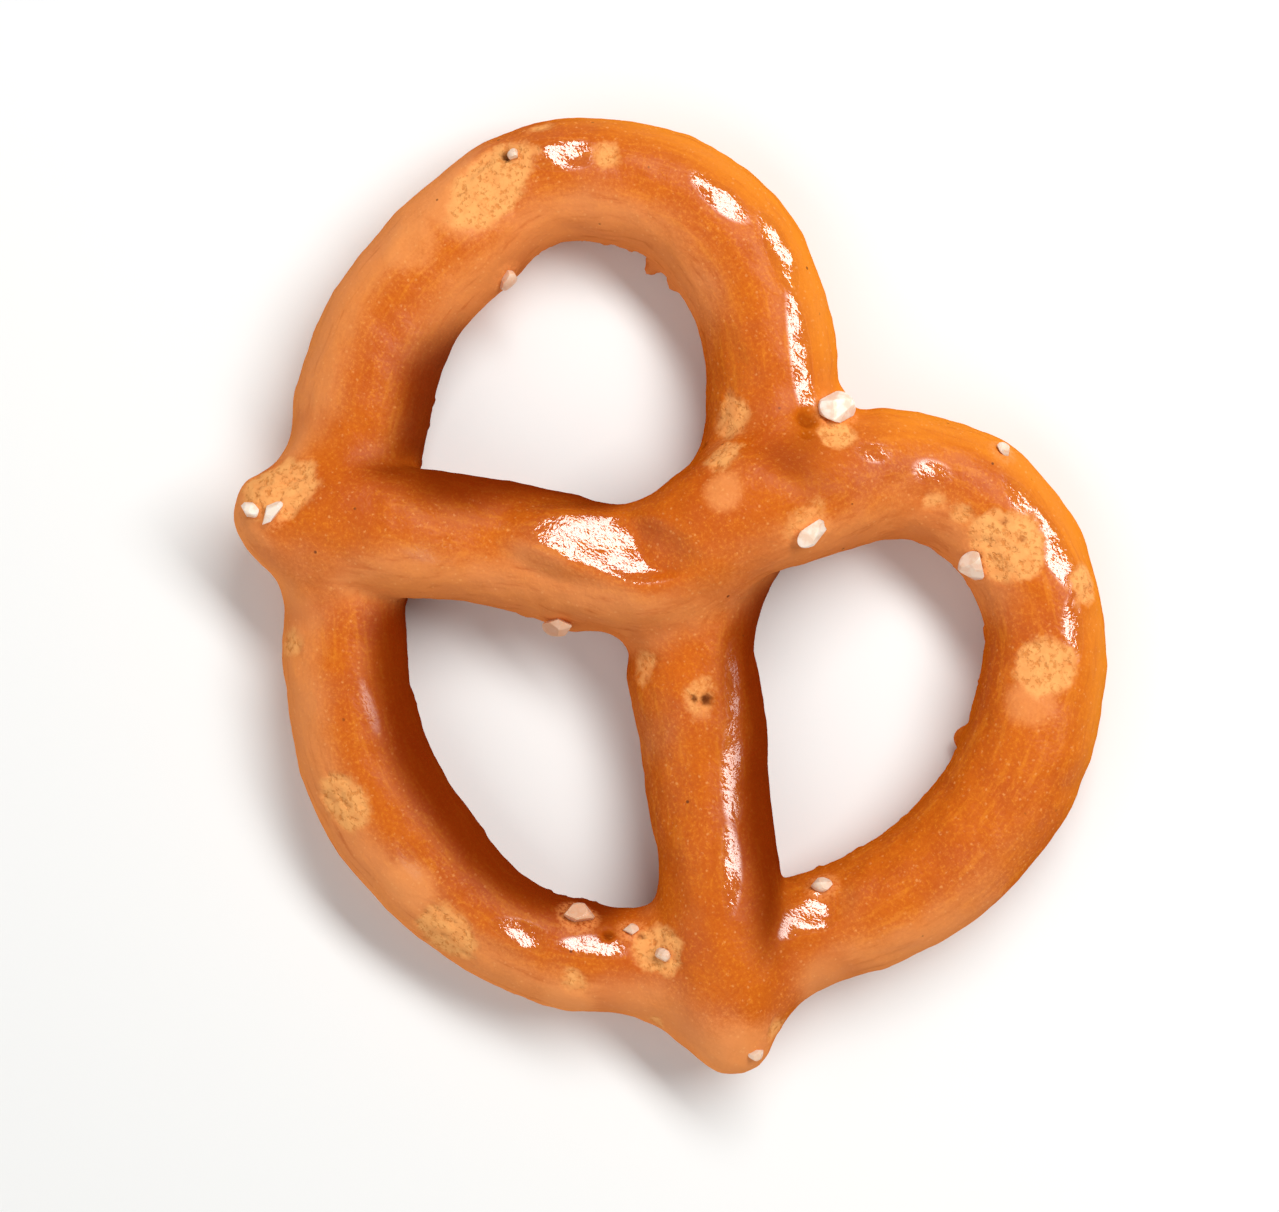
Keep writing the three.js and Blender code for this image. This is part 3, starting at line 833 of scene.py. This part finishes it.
salt = bpy.data.materials.new("salt")
salt.use_nodes = True
salt_shader = salt.node_tree.nodes["Principled BSDF"]
crystal = Wire(salt.node_tree, salt_shader.outputs["BSDF"])
in_metres = crystal.node("ShaderNodeTexCoord", output="Object")
in_mm = crystal.node("ShaderNodeVectorMath", {"operation": "SCALE"}, {0: in_metres, "Scale": 1 / MM})
cloud = crystal.node("ShaderNodeTexNoise", {}, {"Vector": in_mm, "Scale": 1.8, "Detail": 3.0})
flaws = crystal.node("ShaderNodeTexNoise", {}, {"Vector": in_mm, "Scale": 6.0, "Detail": 3.0})
stain = crystal.node("ShaderNodeAttribute", {"attribute_name": "stain"}, output="Fac")
salt_colour = paint(stain, paint(cloud.rising(0.4, 0.6), CLEAR, CLOUDY), STAINED)
salt.node_tree.links.new(salt_colour.socket, salt_shader.inputs["Base Color"])
salt.node_tree.links.new((0.18 + flaws * 0.4).socket, salt_shader.inputs["Roughness"])
salt_shader.inputs["Subsurface Weight"].default_value = TRANSLUCENCE
salt_shader.inputs["Subsurface Radius"].default_value = LIGHT_REACH
salt_shader.inputs["Subsurface Scale"].default_value = 1.0
flaw_bump = crystal.node("ShaderNodeBump", {}, {"Height": flaws, "Strength": 0.3, "Distance": FLAW_HEIGHT})
salt.node_tree.links.new(flaw_bump.socket, salt_shader.inputs["Normal"])

# A crystal starts as a ball one across, off which flat faces are broken, each looking its own way.
# A face lies between Nearest and Farthest from the middle, as a share of the ball's radius.
FACES = 11
BALL_RADIUS = 0.5
grain_kit = NodeKit(
    "salt_crystal", Length=1.0 * MM, Width=1.0 * MM, Height=1.0 * MM, Nearest=0.58, Farthest=0.78, Seed=1
)
ball = grain_kit.start.node("GeometryNodeMeshIcoSphere", {}, {"Radius": BALL_RADIUS, "Subdivisions": 5})
corner = grain_kit.position()
for face in range(FACES):
    number = grain_kit.start.node("FunctionNodeInputInt", {"integer": face})
    any_way = {"Min": (-1.0, -1.0, -1.0), "Max": (1.0, 1.0, 1.0)}
    any_way.update({"ID": number, "Seed": grain_kit.size("Seed")})
    looks = grain_kit.start.node("FunctionNodeRandomValue", {"data_type": "FLOAT_VECTOR"}, any_way)
    looks = grain_kit.vector_maths("NORMALIZE", looks)
    # Sockets 2 and 3 and output 1 are the ones for plain numbers.
    between = {
        2: grain_kit.size("Nearest"),
        3: grain_kit.size("Farthest"),
        "ID": number + FACES,
        "Seed": grain_kit.size("Seed"),
    }
    far_out = grain_kit.start.node("FunctionNodeRandomValue", {"data_type": "FLOAT"}, between, output=1)
    proud = grain_kit.vector_maths("DOT_PRODUCT", corner, looks, output="Value") - far_out * BALL_RADIUS
    cut = grain_kit.scaled(looks, proud.maths("MAXIMUM", proud, 0.0))
    corner = grain_kit.vector_maths("SUBTRACT", corner, cut)
size = grain_kit.vector(grain_kit.size("Length"), grain_kit.size("Width"), grain_kit.size("Height"))
sized = grain_kit.vector_maths("MULTIPLY", corner, size)
grain_kit.finish(grain_kit.moved(ball, sized), salt)

PROUD_SHARE = 0.2  # how far a crystal's middle stands off the crust, as a share of its height
baked_tree = BVHTree.FromObject(pretzel, bpy.context.evaluated_depsgraph_get())

for number, (length, width, height, turn, stain_share) in GRAINS.items():
    node = f"salt_grain_{number:02d}"
    low, high = (Vector(box_corner) for box_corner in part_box(node))
    bed, facing = baked_tree.find_nearest((low + high) / 2)[:2]
    grain = bpy.data.objects.new(f"salt_{number:02d}", bpy.data.meshes.new(f"salt_{number:02d}"))
    bpy.context.scene.collection.objects.link(grain)
    grain_kit.put_on(grain, Length=length * MM, Width=width * MM, Height=height * MM, Seed=number)
    settle(grain)
    store(grain.data, "stain", np.full(len(grain.data.vertices), stain_share))
    tilt = Vector((0, 0, 1)).rotation_difference(facing).to_matrix()
    turned = tilt @ Matrix.Rotation(math.radians(turn), 3, "Z")
    grain.data.transform(Matrix.Translation(bed + facing * height * PROUD_SHARE * MM) @ turned.to_4x4())
    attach(grain, "root")
    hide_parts(node)
